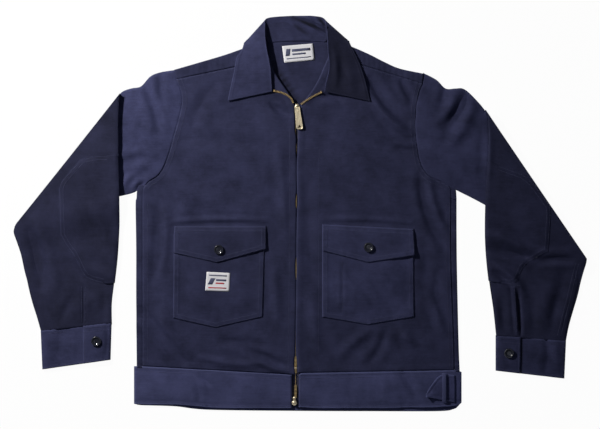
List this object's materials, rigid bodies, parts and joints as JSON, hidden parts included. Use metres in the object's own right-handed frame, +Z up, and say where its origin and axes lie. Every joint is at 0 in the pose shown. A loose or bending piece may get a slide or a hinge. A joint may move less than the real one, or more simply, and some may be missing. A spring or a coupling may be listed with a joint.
{
  "type": "garage jacket",
  "caption": "Short navy twill work jacket laid flat, sleeves folded over, with a brass front zip, buttoned flap pockets, elbow patches and a side adjuster.",
  "frame": {"origin": "centre of the underside's outline, on the surface the jacket lies on", "axes": "+Z up out of the jacket's front, +Y from hem to collar, +X across the jacket"},
  "size_m": [1.001, 0.6926, 0.019],
  "materials": {
    "navy_twill": "matte",
    "zip_tape": "matte",
    "label": "satin",
    "brass": "polished",
    "button": "gloss"
  },
  "bodies": {
    "jacket": {"back": "navy_twill", "front_left": "navy_twill", "front_right": "navy_twill", "sleeve_left": "navy_twill", "sleeve_right": "navy_twill", "elbow_patch_left": "navy_twill", "elbow_patch_right": "navy_twill", "cuff_left": "navy_twill", "cuff_right": "navy_twill", "collar": "navy_twill", "waistband": "navy_twill", "side_strap": "navy_twill", "strap_loop": "navy_twill", "pocket_left": "navy_twill", "flap_left": "navy_twill", "pocket_right": "navy_twill", "flap_right": "navy_twill", "flap_button_left": "button", "flap_button_right": "button", "cuff_button_left": "button", "cuff_button_right": "button", "zip_chain": "brass", "zip_teeth_left": "brass", "zip_teeth_right": "brass", "zip_bottom_stop": "brass", "zip_top_stop_left": "brass", "zip_top_stop_right": "brass", "zip_slider": "brass", "zip_tape_left": "zip_tape", "zip_tape_right": "zip_tape", "neck_label": "label", "pocket_label": "label"},
    "pull_tab": {"zip_pull": "brass"}
  },
  "joints": [
    {"name": "pull_tab_hinge", "type": "hinge", "parent": "jacket", "child": "pull_tab", "pos_m": [-0.00551, 0.1884, 0.00995], "axis": [-0.9925, -0.1219, 0], "range_deg": [0, 150]}
  ]
}
